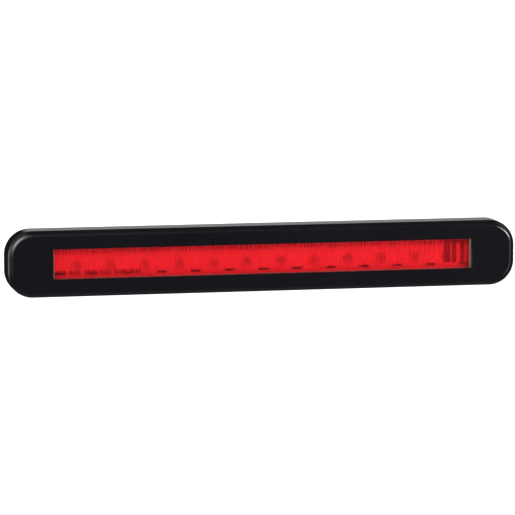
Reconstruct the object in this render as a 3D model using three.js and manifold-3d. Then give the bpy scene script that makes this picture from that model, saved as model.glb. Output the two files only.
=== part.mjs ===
// A third brake light: a slim bar that stands proud of the bodywork on two hidden screws.
// Each sub-part is one named mesh. Sizes are in millimetres.
//
// The pieces are drawn lying on the mounting face: x along the bar, y up the bar, z forward
// from the bodywork. The last lines turn the whole lamp upright, so that +Z is up and the
// lens faces -Y.

import * as THREE from "three";
import { mergeVertices } from "three/addons/utils/BufferGeometryUtils.js";
import Module from "manifold-3d";

const wasm = await Module();
wasm.setup();

// ---- driving dimensions ----------------------------------------------------------------

const LENGTH = 300;
const HEIGHT = 38.5;
const DEPTH = 18; // mounting face to front face
const CORNER_RADIUS = 14.75;
const FRONT_EDGE_RADIUS = 3.7;

const WINDOW_LENGTH = 247.2;
const WINDOW_HEIGHT = 17.2;
const LENS_RECESS = 3.6; // front face to lens face

const LED_COUNT = 12;
const LED_PITCH = 20;

const SCREW_X = 137.5; // mounting screws, either side of the middle
const GROMMET_Y = 10; // cover studs, above and below each mounting screw
const CONNECTOR_X = -60;
const VENT_X = 60;

const FIT = 0.1; // gap left between neighbours that touch on the real lamp
const SLIDE_FIT = 0.4; // gap between the cover and the tray it slides over

// ---- dimensions that follow ------------------------------------------------------------

const COVER_WALL = 2.2;
const COVER_FRONT_WALL = 2.5;
const COVER_BACK_Z = 0.8; // the skirt stops just short of the bodywork
const COVER_CEILING_Z = DEPTH - COVER_FRONT_WALL;

const GASKET_THICK = 1.5;
const TRAY_BACK_Z = GASKET_THICK + FIT;
const TRAY_FLOOR_Z = 3.6;
const TRAY_RIM_Z = 8;
const TRAY_WALL = 1.8;
const TRAY_INSET = COVER_WALL + SLIDE_FIT;
const TRAY_LENGTH = LENGTH - 2 * TRAY_INSET;
const TRAY_HEIGHT = HEIGHT - 2 * TRAY_INSET;
const TRAY_CORNER = CORNER_RADIUS - TRAY_INSET;

const LENS_LENGTH = 258; // the cover hides its edges
const LENS_HEIGHT = WINDOW_HEIGHT + 5.2;
const LENS_CORNER = 1.6;
const LENS_WALL = 1.8;
const LENS_FRONT_WALL = 2;
const LENS_FRONT_Z = DEPTH - LENS_RECESS;

const BEAD_SHOWS_AT_ENDS = 0.5; // how far the bead reaches into the window
const BEAD_UNDER_COVER = 2.2; // how far it reaches under the cover, all round

const SEAL_THICK = 0.9;
const LENS_BACK_Z = TRAY_FLOOR_Z + SEAL_THICK + 2 * FIT;

const BOARD_LENGTH = 252;
const BOARD_HEIGHT = 16.5;
const BOARD_BACK_Z = 5.6;
const BOARD_FRONT_Z = 6.8;
const BOARD_SCREW_X = 123.2;
const LED_ROW_Y = -2;

const REFLECTOR_BACK_Z = 8.2;
const REFLECTOR_FRONT_Z = LENS_FRONT_Z - LENS_FRONT_WALL - 0.5;
const REFLECTOR_LENGTH = LED_COUNT * LED_PITCH + 10;
const REFLECTOR_HEIGHT = 17.6;

const BOSS_TOP_Z = 5.6;
const ARC_STEPS = 6; // each quarter turn of an outline gets twice this many chords
const ROUND_SIDES = 24; // flats on a large round; small ones take fewer
const SMALL_ROUND_SIDES = 14;

const SIDES = [-1, 1];
const GROMMET_PLACES = SIDES.flatMap((sx) => SIDES.map((sy) => [sx * SCREW_X, sy * GROMMET_Y]));
const LED_PLACES = Array.from({ length: LED_COUNT }, (_, i) => {
  return (i - (LED_COUNT - 1) / 2) * LED_PITCH;
});
const CELL_BOUNDARIES = Array.from({ length: LED_COUNT + 1 }, (_, i) => {
  return (i - LED_COUNT / 2) * LED_PITCH;
});

// ---- outlines --------------------------------------------------------------------------

function roundedRectangle(width, height, radius, Path = THREE.Shape) {
  const x = width / 2 - radius;
  const y = height / 2 - radius;
  const outline = new Path();
  outline.absarc(x, y, radius, 0, Math.PI / 2);
  outline.absarc(-x, y, radius, Math.PI / 2, Math.PI);
  outline.absarc(-x, -y, radius, Math.PI, 1.5 * Math.PI);
  outline.absarc(x, -y, radius, 1.5 * Math.PI, 2 * Math.PI);
  return outline;
}

function rectangle(width, height, x = 0, y = 0, Path = THREE.Shape) {
  const outline = new Path();
  outline.moveTo(x - width / 2, y - height / 2);
  outline.lineTo(x + width / 2, y - height / 2);
  outline.lineTo(x + width / 2, y + height / 2);
  outline.lineTo(x - width / 2, y + height / 2);
  return outline;
}

function ring(outer, inner) {
  outer.holes.push(inner);
  return outer;
}

// ---- raw geometry ----------------------------------------------------------------------

function prism(outline, fromZ, toZ) {
  const options = { depth: toZ - fromZ, bevelEnabled: false, curveSegments: ARC_STEPS };
  return new THREE.ExtrudeGeometry(outline, options).translate(0, 0, fromZ);
}

// A prism whose front edge is rounded. Its back edge is rounded too, so it starts lower down
// than it has to, and the caller trims it.
function softPrism(outline, fromZ, toZ, radius) {
  const options = {
    depth: toZ - fromZ - 2 * radius,
    bevelThickness: radius,
    bevelSize: radius,
    bevelOffset: -radius,
    bevelSegments: 5,
    curveSegments: ARC_STEPS,
  };
  return new THREE.ExtrudeGeometry(outline, options).translate(0, 0, fromZ + radius);
}

function rod(radius, fromZ, toZ, x = 0, y = 0, sides = ROUND_SIDES) {
  const cylinder = new THREE.CylinderGeometry(radius, radius, toZ - fromZ, sides);
  return cylinder.rotateX(Math.PI / 2).translate(x, y, (fromZ + toZ) / 2);
}

function block(width, height, fromZ, toZ, x = 0, y = 0) {
  return new THREE.BoxGeometry(width, height, toZ - fromZ).translate(x, y, (fromZ + toZ) / 2);
}

// Turns a profile of [radius, z] points about the z axis. The profile runs from back to front.
function turned(profile, sides = ROUND_SIDES) {
  const points = profile.map(([radius, z]) => new THREE.Vector2(radius, z));
  return new THREE.LatheGeometry(points, sides).rotateX(Math.PI / 2);
}

function funnel(backRadius, frontRadius, fromZ, toZ, x, y) {
  const cone = new THREE.CylinderGeometry(frontRadius, backRadius, toZ - fromZ, ROUND_SIDES);
  return cone.rotateX(Math.PI / 2).translate(x, y, (fromZ + toZ) / 2);
}

// ---- joining and cutting ---------------------------------------------------------------

function solid(geometry) {
  const bare = geometry.clone().deleteAttribute("normal").deleteAttribute("uv");
  const merged = mergeVertices(bare, 1e-4);
  const vertProperties = new Float32Array(merged.attributes.position.array);
  const corners = merged.index.array;
  const triVerts = [];
  for (let i = 0; i < corners.length; i += 3) {
    const [a, b, c] = [corners[i], corners[i + 1], corners[i + 2]];
    if (a !== b && b !== c && c !== a) triVerts.push(a, b, c);
  }
  const mesh = new wasm.Mesh({ numProp: 3, vertProperties, triVerts: new Uint32Array(triVerts) });
  return new wasm.Manifold(mesh);
}

function joined(geometries) {
  return geometries.map(solid).reduce((whole, piece) => whole.add(piece));
}

function carve(blanks, cutters = []) {
  const cut = cutters.map(solid).reduce((left, tool) => left.subtract(tool), joined(blanks));
  const mesh = cut.getMesh();
  const geometry = new THREE.BufferGeometry();
  geometry.setAttribute("position", new THREE.BufferAttribute(mesh.vertProperties, 3));
  geometry.setIndex(new THREE.BufferAttribute(mesh.triVerts, 1));
  geometry.computeVertexNormals();
  return geometry;
}

// ---- finishes --------------------------------------------------------------------------

function finish(color, roughness, metalness = 0) {
  return new THREE.MeshStandardMaterial({ color, roughness, metalness });
}

const GLOSS_BLACK = finish(0x17171a, 0.22);
const SATIN_BLACK = finish(0x1d1d1f, 0.55);
const BLACK_RUBBER = finish(0x141414, 0.85);
const BLACK_FOAM = finish(0x232323, 0.95);
const RED_LENS = finish(0xe1212a, 0.12);
const WHITE_PLASTIC = finish(0xf2f2ef, 0.4);
const BOARD_MASK = finish(0xe9ece8, 0.45);
const LED_CASE = finish(0xf4efe0, 0.35);
const CHIP_BLACK = finish(0x202022, 0.5);
const CERAMIC = finish(0xb79a72, 0.5);
const TINNED_BRASS = finish(0xcfcfc8, 0.28, 1);
const STAINLESS = finish(0xb9bcc0, 0.3, 1);
const SILICONE = finish(0x8c8c8c, 0.7);
const VENT_PLASTIC = finish(0x35373a, 0.6);

// ---- cover -----------------------------------------------------------------------------

const STUD_RADIUS = 1.5;
const STUD_BACK_Z = 5;

function coverGeometry() {
  const gussetThick = 1.2;
  const gussetInnerY = LENS_HEIGHT / 2 + SLIDE_FIT;
  const gussetOuterY = HEIGHT / 2 - COVER_WALL + FIT;
  const past = 4; // how far a cutter runs past the face that it breaks through

  const outside = roundedRectangle(LENGTH, HEIGHT, CORNER_RADIUS);
  const inside = roundedRectangle(
    LENGTH - 2 * COVER_WALL,
    HEIGHT - 2 * COVER_WALL,
    CORNER_RADIUS - COVER_WALL,
  );
  const shell = carve(
    [softPrism(outside, COVER_BACK_Z - past, DEPTH, FRONT_EDGE_RADIUS)],
    [
      prism(inside, COVER_BACK_Z - 2 * past, COVER_CEILING_Z),
      block(LENGTH + past, HEIGHT + past, COVER_BACK_Z - 2 * past, COVER_BACK_Z),
    ],
  );
  const studs = GROMMET_PLACES.map(([x, y]) => {
    return rod(STUD_RADIUS, STUD_BACK_Z, COVER_CEILING_Z + FIT, x, y);
  });
  const gussets = [-100, -50, 0, 50, 100].flatMap((x) => {
    return SIDES.map((side) => {
      const middle = (side * (gussetInnerY + gussetOuterY)) / 2;
      const height = gussetOuterY - gussetInnerY;
      return block(gussetThick, height, COVER_CEILING_Z - 3.5, COVER_CEILING_Z + FIT, x, middle);
    });
  });
  const opening = block(WINDOW_LENGTH, WINDOW_HEIGHT, COVER_CEILING_Z - past, DEPTH + past);
  return carve([shell, ...studs, ...gussets], [opening]);
}

// ---- lens and its seals ----------------------------------------------------------------

// A shallow tray of red plastic, open at the back.
function lensGeometry() {
  const outline = roundedRectangle(LENS_LENGTH, LENS_HEIGHT, LENS_CORNER);
  const cavity = block(
    LENS_LENGTH - 2 * LENS_WALL,
    LENS_HEIGHT - 2 * LENS_WALL,
    LENS_BACK_Z - 2,
    LENS_FRONT_Z - LENS_FRONT_WALL,
  );
  return carve([prism(outline, LENS_BACK_Z, LENS_FRONT_Z)], [cavity]);
}

// The bead is squeezed between the lens and the cover, and a little of it shows at the
// window's ends.
function windowSealGeometry() {
  const outerLength = WINDOW_LENGTH + 2 * BEAD_UNDER_COVER;
  const outerHeight = WINDOW_HEIGHT + 2 * BEAD_UNDER_COVER;
  const innerLength = WINDOW_LENGTH - 2 * BEAD_SHOWS_AT_ENDS;
  const outer = rectangle(outerLength, outerHeight);
  const inner = rectangle(innerLength, WINDOW_HEIGHT, 0, 0, THREE.Path);
  return prism(ring(outer, inner), LENS_FRONT_Z + FIT, COVER_CEILING_Z - FIT);
}

function lensSealGeometry() {
  const outer = roundedRectangle(LENS_LENGTH, LENS_HEIGHT, LENS_CORNER);
  const inner = rectangle(
    LENS_LENGTH - 2 * LENS_WALL,
    LENS_HEIGHT - 2 * LENS_WALL,
    0,
    0,
    THREE.Path,
  );
  return prism(ring(outer, inner), TRAY_FLOOR_Z + FIT, TRAY_FLOOR_Z + FIT + SEAL_THICK);
}

// ---- tray ------------------------------------------------------------------------------

const SCREW_HOLE_RADIUS = 2.35;
const SOCKET_LENGTH = 18;
const SOCKET_HEIGHT = 10;
const SOCKET_WALL = 1.5;
const VENT_STEM_RADIUS = 2.9;
const GROMMET_SLEEVE_RADIUS = 2.65;
const BOARD_SCREW_RADIUS = 0.8;
const RIB_PLACES = [-80, -40, 0, 40, 80];

function trayGeometry() {
  const floor = roundedRectangle(TRAY_LENGTH, TRAY_HEIGHT, TRAY_CORNER);
  const rim = ring(
    roundedRectangle(TRAY_LENGTH, TRAY_HEIGHT, TRAY_CORNER),
    roundedRectangle(
      TRAY_LENGTH - 2 * TRAY_WALL,
      TRAY_HEIGHT - 2 * TRAY_WALL,
      TRAY_CORNER - TRAY_WALL,
      THREE.Path,
    ),
  );
  const ledgeLength = LENS_LENGTH + 2 * SLIDE_FIT;
  const ledgeHeight = LENS_HEIGHT + 2 * SLIDE_FIT;
  const ledgeWall = 1.6;
  const lensLedge = ring(
    rectangle(ledgeLength + 2 * ledgeWall, ledgeHeight + 2 * ledgeWall),
    rectangle(ledgeLength, ledgeHeight, 0, 0, THREE.Path),
  );
  const root = TRAY_FLOOR_Z - FIT; // raised features start just inside the floor
  const screwBosses = SIDES.map((side) => rod(4.5, root, BOSS_TOP_Z, side * SCREW_X));
  const boardBosses = SIDES.map((side) => {
    return rod(2.4, root, BOARD_BACK_Z - FIT, side * BOARD_SCREW_X);
  });
  const boardRibs = RIB_PLACES.map((x) => block(1.5, 14, root, BOARD_BACK_Z - FIT, x));
  const grommetSockets = GROMMET_PLACES.map(([x, y]) => {
    return rod(GROMMET_SLEEVE_RADIUS + 1.25, root, TRAY_RIM_Z, x, y);
  });

  const screwHoles = SIDES.map((side) => {
    return rod(SCREW_HOLE_RADIUS, 0, BOSS_TOP_Z + 1, side * SCREW_X);
  });
  const boardPilots = SIDES.map((side) => {
    const x = side * BOARD_SCREW_X;
    return rod(BOARD_SCREW_RADIUS + FIT, TRAY_BACK_Z + 1, BOARD_BACK_Z, x, 0, SMALL_ROUND_SIDES);
  });
  const grommetBores = GROMMET_PLACES.map(([x, y]) => {
    return rod(GROMMET_SLEEVE_RADIUS + FIT, TRAY_FLOOR_Z + FIT, TRAY_RIM_Z + 1, x, y);
  });
  const connectorHole = block(SOCKET_LENGTH + 0.4, SOCKET_HEIGHT + 0.4, 0, TRAY_RIM_Z, CONNECTOR_X);
  const ventHole = rod(VENT_STEM_RADIUS + FIT, 0, TRAY_RIM_Z, VENT_X);
  return carve(
    [
      prism(floor, TRAY_BACK_Z, TRAY_FLOOR_Z),
      prism(rim, root, TRAY_RIM_Z),
      prism(lensLedge, root, TRAY_RIM_Z),
      ...screwBosses,
      ...boardBosses,
      ...boardRibs,
      ...grommetSockets,
    ],
    [...screwHoles, ...boardPilots, ...grommetBores, connectorHole, ventHole],
  );
}

function gasketGeometry() {
  const inset = 1.4;
  const outline = roundedRectangle(
    TRAY_LENGTH - 2 * inset,
    TRAY_HEIGHT - 2 * inset,
    TRAY_CORNER - inset,
  );
  const to = GASKET_THICK + 1;
  const screwHoles = SIDES.map((side) => rod(2.7, -1, to, side * SCREW_X));
  const ventHole = rod(4.6, -1, to, VENT_X);
  const socketHole = block(SOCKET_LENGTH + 1.4, SOCKET_HEIGHT + 1.4, -1, to, CONNECTOR_X);
  return carve([prism(outline, 0, GASKET_THICK)], [...screwHoles, ventHole, socketHole]);
}

// ---- connector -------------------------------------------------------------------------

const SOCKET_MOUTH_Z = -11;
const SOCKET_FLOOR_Z = 0.5;
const FLANGE_LENGTH = SOCKET_LENGTH + 3;
const FLANGE_HEIGHT = SOCKET_HEIGHT + 3;
const FLANGE_BACK_Z = 4.2;
const FLANGE_FRONT_Z = 5.4;
const BLADE_OFFSETS = [-3.5, 3.5];
const BLADE_WIDTH = 2.8;
const BLADE_THICK = 0.8;
const BLADE_TIP_Z = -6.5;
const BLADE_TAIL_Z = 7.5;

function connectorSocketGeometry() {
  const cavityHeight = SOCKET_HEIGHT - 2 * SOCKET_WALL;
  const body = prism(roundedRectangle(SOCKET_LENGTH, SOCKET_HEIGHT, 1), SOCKET_MOUTH_Z, 5);
  const flange = prism(
    roundedRectangle(FLANGE_LENGTH, FLANGE_HEIGHT, 1.5),
    FLANGE_BACK_Z,
    FLANGE_FRONT_Z,
  );
  const cavity = block(
    SOCKET_LENGTH - 2 * SOCKET_WALL,
    cavityHeight,
    SOCKET_MOUTH_Z - 1,
    SOCKET_FLOOR_Z,
  );
  const keyway = block(2, 1.6, SOCKET_MOUTH_Z - 1, SOCKET_FLOOR_Z, 4.5, cavityHeight / 2);
  const latchWindow = block(4, SOCKET_HEIGHT + 2, -8.2, -5.4);
  const bladeSlots = BLADE_OFFSETS.map((x) => {
    return block(BLADE_WIDTH + 2 * FIT, BLADE_THICK + 2 * FIT, -1, FLANGE_FRONT_Z + 1, x);
  });
  return carve([body, flange], [cavity, keyway, latchWindow, ...bladeSlots]);
}

function connectorSealGeometry() {
  const outer = roundedRectangle(FLANGE_LENGTH, FLANGE_HEIGHT, 1.5);
  const inner = rectangle(SOCKET_LENGTH + 0.6, SOCKET_HEIGHT + 0.6, 0, 0, THREE.Path);
  return prism(ring(outer, inner), TRAY_FLOOR_Z + FIT, FLANGE_BACK_Z - FIT);
}

// A flat blade with a tapered tip, drawn in the x-z plane and given its thickness along y.
function bladeGeometry() {
  const half = BLADE_WIDTH / 2;
  const outline = new THREE.Shape();
  outline.moveTo(-half, BLADE_TAIL_Z);
  outline.lineTo(-half, BLADE_TIP_Z + 1.6);
  outline.lineTo(-half / 2, BLADE_TIP_Z);
  outline.lineTo(half / 2, BLADE_TIP_Z);
  outline.lineTo(half, BLADE_TIP_Z + 1.6);
  outline.lineTo(half, BLADE_TAIL_Z);
  const options = { depth: BLADE_THICK, bevelEnabled: false };
  const blade = new THREE.ExtrudeGeometry(outline, options).translate(0, 0, -BLADE_THICK / 2);
  return blade.rotateX(Math.PI / 2);
}

// ---- circuit board and what is soldered to it ------------------------------------------

function boardGeometry() {
  const from = BOARD_BACK_Z - 1;
  const to = BOARD_FRONT_Z + 1;
  const screwHoles = SIDES.map((side) => rod(1.15, from, to, side * BOARD_SCREW_X));
  const bladeSlots = BLADE_OFFSETS.map((x) => {
    return block(BLADE_WIDTH + 0.4, BLADE_THICK + 0.4, from, to, CONNECTOR_X + x);
  });
  const board = block(BOARD_LENGTH, BOARD_HEIGHT, BOARD_BACK_Z, BOARD_FRONT_Z);
  return carve([board], [...screwHoles, ...bladeSlots]);
}

function ledGeometry() {
  const caseHeight = 1.1;
  const domeRadius = 1.5;
  const dome = new THREE.SphereGeometry(domeRadius, 12, 8).translate(0, 0, caseHeight - 0.6);
  return carve([block(3.5, 3.5, 0, caseHeight), dome], [block(6, 6, -3, 0)]);
}

// A small surface-mount package: a case with a foot at each end, hanging below z = 0.
function packageGeometry(length, width, height) {
  const footLength = 0.5;
  const feet = SIDES.map((side) => {
    return block(footLength * 2, width * 0.6, -0.35, 0, (side * length) / 2);
  });
  return carve([block(length, width, -height, 0), ...feet]);
}

// ---- reflector -------------------------------------------------------------------------

// A white plate in front of the LEDs: a cup for each, and a slot between one cell and the next.
function reflectorGeometry() {
  const cupBackRadius = 1.75;
  const cupFrontRadius = 3.4;
  const slotLength = 6;
  const slotHeight = 1.1;
  const slotY = -6.35;
  const footWidth = 1.6;
  const footY = 5;
  const past = 0.05; // the cutters pass just through both faces
  const from = REFLECTOR_BACK_Z - past;
  const to = REFLECTOR_FRONT_Z + past;
  const plate = block(REFLECTOR_LENGTH, REFLECTOR_HEIGHT, REFLECTOR_BACK_Z, REFLECTOR_FRONT_Z);
  const cups = LED_PLACES.map((x) => funnel(cupBackRadius, cupFrontRadius, from, to, x, LED_ROW_Y));
  const slots = CELL_BOUNDARIES.map((x) => block(slotLength, slotHeight, from, to, x, slotY));
  const feet = [2, 6, 10].flatMap((i) => {
    const x = CELL_BOUNDARIES[i];
    return SIDES.map((side) => {
      const footTop = REFLECTOR_BACK_Z + FIT;
      return block(footWidth, footWidth, BOARD_FRONT_Z + FIT, footTop, x, side * footY);
    });
  });
  return carve([plate, ...feet], [...cups, ...slots]);
}

// ---- fasteners, grommets and vent ------------------------------------------------------

// A pan-head screw with a cross recess. z = 0 is under the head.
function screwGeometry({ shankRadius, shankLength, headRadius, headHeight, sides }) {
  const profile = [
    [0, -shankLength],
    [shankRadius, -shankLength + 1.8 * shankRadius],
    [shankRadius, 0],
    [headRadius, 0],
    [headRadius, headHeight * 0.45],
    [headRadius * 0.8, headHeight * 0.85],
    [headRadius * 0.45, headHeight],
    [0, headHeight],
  ];
  const slotWidth = headRadius * 0.28;
  const slotLength = headRadius * 1.05;
  const slotFloorZ = headHeight * 0.35;
  const cross = [
    block(slotLength, slotWidth, slotFloorZ, headHeight + 1),
    block(slotWidth, slotLength, slotFloorZ, headHeight + 1),
  ];
  return carve([turned(profile, sides)], cross);
}

const MOUNTING_SCREW = {
  shankRadius: 2,
  shankLength: 19,
  headRadius: 4,
  headHeight: 2.6,
  sides: ROUND_SIDES,
};
const BOARD_SCREW = {
  shankRadius: BOARD_SCREW_RADIUS,
  shankLength: 4,
  headRadius: 1.9,
  headHeight: 1.2,
  sides: SMALL_ROUND_SIDES,
};
const WASHER_THICK = 1;

function washerGeometry() {
  const bore = MOUNTING_SCREW.shankRadius + 0.4;
  const rim = MOUNTING_SCREW.headRadius + 0.8;
  return turned([
    [bore, 0],
    [rim, 0],
    [rim, WASHER_THICK],
    [bore, WASHER_THICK],
    [bore, 0],
  ]);
}

// A rubber sleeve round its bore, with a flange that rests on the tray's socket.
function grommetGeometry() {
  const bore = STUD_RADIUS + FIT;
  const flangeRadius = 3.8;
  const sleeveZ = STUD_BACK_Z - 0.6;
  const flangeZ = TRAY_RIM_Z + FIT;
  const profile = [
    [bore, sleeveZ],
    [GROMMET_SLEEVE_RADIUS, sleeveZ],
    [GROMMET_SLEEVE_RADIUS, flangeZ],
    [flangeRadius, flangeZ],
    [flangeRadius, flangeZ + 0.6],
    [flangeRadius - 0.5, flangeZ + 1],
    [bore, flangeZ + 1],
    [bore, sleeveZ],
  ];
  return turned(profile, SMALL_ROUND_SIDES);
}

// A push-in breather: cap behind the tray, stem through its floor, barb inside.
function ventGeometry() {
  const capRadius = 4.2;
  const capBackZ = 0.2;
  const barbRadius = 3.3;
  const barbZ = TRAY_FLOOR_Z + FIT;
  const tipZ = TRAY_FLOOR_Z + 1.3;
  const profile = [
    [0, capBackZ],
    [capRadius - 0.4, capBackZ],
    [capRadius, capBackZ + 0.3],
    [capRadius, GASKET_THICK],
    [VENT_STEM_RADIUS, GASKET_THICK],
    [VENT_STEM_RADIUS, barbZ],
    [barbRadius, barbZ],
    [VENT_STEM_RADIUS - 0.5, tipZ],
    [0, tipZ],
  ];
  return turned(profile);
}

// ---- assembly --------------------------------------------------------------------------

const lamp = new THREE.Group();

function place(name, geometry, material, x = 0, y = 0, z = 0) {
  const mesh = new THREE.Mesh(geometry, material);
  mesh.name = name;
  mesh.position.set(x, y, z);
  lamp.add(mesh);
}

place("cover_bezel", coverGeometry(), GLOSS_BLACK);
place("red_lens", lensGeometry(), RED_LENS);
place("window_seal", windowSealGeometry(), SILICONE);
place("lens_seal", lensSealGeometry(), SILICONE);
place("base_tray", trayGeometry(), SATIN_BLACK);
place("mounting_gasket", gasketGeometry(), BLACK_FOAM);

place("connector_socket", connectorSocketGeometry(), SATIN_BLACK, CONNECTOR_X);
place("connector_seal", connectorSealGeometry(), SILICONE, CONNECTOR_X);
place("terminal_blade_1", bladeGeometry(), TINNED_BRASS, CONNECTOR_X + BLADE_OFFSETS[0]);
place("terminal_blade_2", bladeGeometry(), TINNED_BRASS, CONNECTOR_X + BLADE_OFFSETS[1]);

place("circuit_board", boardGeometry(), BOARD_MASK);
LED_PLACES.forEach((x, i) => {
  const name = "led_" + String(i + 1).padStart(2, "0");
  place(name, ledGeometry(), LED_CASE, x, LED_ROW_Y, BOARD_FRONT_Z + FIT / 2);
});
place("reflector_strip", reflectorGeometry(), WHITE_PLASTIC);

// Each string of four LEDs has a current regulator and a resistor on the back of the board.
const BOARD_UNDERSIDE_Z = BOARD_BACK_Z - FIT / 2;
const REGULATOR_XS = [-100, -20, 100];
const RESISTOR_OFFSET = 7; // beside its regulator
const STRING_ROW_Y = 2.5;
REGULATOR_XS.forEach((x, i) => {
  const y = STRING_ROW_Y;
  const regulator = packageGeometry(4.5, 2.5, 1.4);
  const resistor = packageGeometry(3.2, 1.6, 0.6);
  const resistorX = x + RESISTOR_OFFSET;
  place("current_regulator_" + (i + 1), regulator, CHIP_BLACK, x, y, BOARD_UNDERSIDE_Z);
  place("string_resistor_" + (i + 1), resistor, CHIP_BLACK, resistorX, y, BOARD_UNDERSIDE_Z);
});

// The supply comes in through two diodes and a capacitor, in a row near the plug socket.
const INPUT_ROW_Y = -3;
[
  ["polarity_diode", packageGeometry(4.3, 2.6, 1.5), CHIP_BLACK, -34],
  ["surge_diode", packageGeometry(4.6, 3.6, 1.5), CHIP_BLACK, -26],
  ["filter_capacitor", packageGeometry(3.2, 2.5, 1.4), CERAMIC, -18],
].forEach(([name, geometry, material, x]) => {
  place(name, geometry, material, x, INPUT_ROW_Y, BOARD_UNDERSIDE_Z);
});

SIDES.forEach((side) => {
  const hand = side < 0 ? "left" : "right";
  const screwX = side * SCREW_X;
  const boardScrewX = side * BOARD_SCREW_X;
  const washerZ = BOSS_TOP_Z + FIT / 2;
  const headZ = washerZ + WASHER_THICK + FIT / 2;
  const boardHeadZ = BOARD_FRONT_Z + FIT / 2;
  place("screw_washer_" + hand, washerGeometry(), BLACK_RUBBER, screwX, 0, washerZ);
  place("mounting_screw_" + hand, screwGeometry(MOUNTING_SCREW), STAINLESS, screwX, 0, headZ);
  place("board_screw_" + hand, screwGeometry(BOARD_SCREW), STAINLESS, boardScrewX, 0, boardHeadZ);
});

GROMMET_PLACES.forEach(([x, y]) => {
  const name = "cover_grommet_" + (y > 0 ? "upper" : "lower") + (x < 0 ? "_left" : "_right");
  place(name, grommetGeometry(), BLACK_RUBBER, x, y);
});
place("breather_vent", ventGeometry(), VENT_PLASTIC, VENT_X);

lamp.rotation.x = Math.PI / 2;

const thirdBrakeLight = new THREE.Group();
thirdBrakeLight.add(lamp);

export default thirdBrakeLight;
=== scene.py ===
# %% [markdown]
# # A third brake light
#
# This lesson dresses a slim bar lamp for a picture. The lamp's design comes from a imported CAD
# model, the frame, and every piece made here sits exactly where its CAD node sits. The pieces
# that show are modelled again with soft edges, real optics and moulding detail, and every piece
# gets a finish made of nodes.

# %% Load the frame
import math

import bmesh
import bpy
from mathutils import Matrix, Vector


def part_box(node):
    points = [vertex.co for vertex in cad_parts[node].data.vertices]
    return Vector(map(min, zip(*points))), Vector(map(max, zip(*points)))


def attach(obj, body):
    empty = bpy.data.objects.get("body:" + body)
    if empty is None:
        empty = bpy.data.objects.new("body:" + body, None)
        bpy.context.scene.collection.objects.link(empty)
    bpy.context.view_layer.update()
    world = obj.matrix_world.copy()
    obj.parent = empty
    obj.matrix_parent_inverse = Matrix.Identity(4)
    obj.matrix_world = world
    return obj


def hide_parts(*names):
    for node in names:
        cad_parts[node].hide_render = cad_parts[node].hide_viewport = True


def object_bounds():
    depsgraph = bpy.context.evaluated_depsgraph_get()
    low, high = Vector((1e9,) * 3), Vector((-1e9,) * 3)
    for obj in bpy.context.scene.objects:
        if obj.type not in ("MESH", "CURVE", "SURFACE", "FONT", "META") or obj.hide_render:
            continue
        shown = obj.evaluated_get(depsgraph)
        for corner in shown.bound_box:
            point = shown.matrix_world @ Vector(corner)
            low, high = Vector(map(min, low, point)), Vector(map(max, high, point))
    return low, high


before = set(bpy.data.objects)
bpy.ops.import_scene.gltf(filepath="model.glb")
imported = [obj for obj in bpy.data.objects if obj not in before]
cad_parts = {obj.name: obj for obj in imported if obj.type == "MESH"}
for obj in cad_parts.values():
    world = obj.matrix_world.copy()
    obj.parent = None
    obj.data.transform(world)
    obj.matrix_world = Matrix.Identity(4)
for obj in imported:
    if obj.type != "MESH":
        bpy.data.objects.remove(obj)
cad_low, cad_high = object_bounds()
print("CAD box in mm:", [round(1000 * side, 1) for side in cad_high - cad_low])

# %% [markdown]
# ## Working lying down
#
# A bar lamp is easiest to draw as it is moulded: lying on its back, with x along the bar, y up
# the bar and z out of the face, in millimetres. Each finished mesh is then stood up with a
# quarter turn about X and scaled to metres. The same turn, run backwards, reads a CAD node's box
# in drawing units, so sizes come from the frame and not from a ruler.

# %% Drawing units
MM = 0.001
STAND_UP = Matrix.Rotation(math.pi / 2, 4, "X") @ Matrix.Scale(MM, 4)
LIE_DOWN = STAND_UP.inverted()
SIDES = (-1, 1)


class Span:
    """The box of a CAD node, in drawing units."""

    def __init__(self, node):
        corners = [LIE_DOWN @ Vector(corner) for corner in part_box(node)]
        self.low = Vector([min(pair) for pair in zip(*corners)])
        self.high = Vector([max(pair) for pair in zip(*corners)])
        self.size = self.high - self.low
        self.centre = (self.high + self.low) / 2


cover, lens, bead = [Span(node) for node in ("cover_bezel", "red_lens", "window_seal")]
print("cover", [round(side, 2) for side in cover.size], "front at", round(cover.high.z, 2))

# %% [markdown]
# ## The camera
#
# The lamp is seen from its left and from a little above, through a long lens, so its long edges
# converge only slightly. The camera is placed by swinging it round an aim point near the middle
# of the lamp: first the turn about the vertical, then the tilt, then the distance.

# %% Camera
CAMERA_TURN = math.radians(11.89)
CAMERA_TILT = math.radians(7.23)
CAMERA_ROLL = math.radians(-0.02)
CAMERA_DISTANCE = 1.903
CAMERA_AIM = Vector((-0.00303, -0.010, -0.00003))
LENS_MM = 229
SENSOR_MM = 36

look = Vector(
    (
        math.sin(CAMERA_TURN) * math.cos(CAMERA_TILT),
        math.cos(CAMERA_TURN) * math.cos(CAMERA_TILT),
        -math.sin(CAMERA_TILT),
    )
)
camera = bpy.data.objects.new("camera", bpy.data.cameras.new("camera"))
camera.data.lens = LENS_MM
camera.data.sensor_width = SENSOR_MM
camera.location = CAMERA_AIM - look * CAMERA_DISTANCE
upright = look.to_track_quat("-Z", "Y").to_matrix().to_4x4()
camera.matrix_world = (
    Matrix.Translation(camera.location) @ upright @ Matrix.Rotation(CAMERA_ROLL, 4, "Z")
)
bpy.context.scene.collection.objects.link(camera)
bpy.context.scene.camera = camera
bpy.context.scene.view_settings.view_transform = "Standard"
print("camera at", [round(c, 3) for c in camera.location])

# %% [markdown]
# ## Shader maths that reads like maths
#
# A node tree is hard to read as a list of links. The Wire class holds one output socket, and
# adding, multiplying or raising it adds the Math node. Recipe holds one tree and has a single
# method for every other node: its type, its settings, then the values or links of its sockets.


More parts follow.
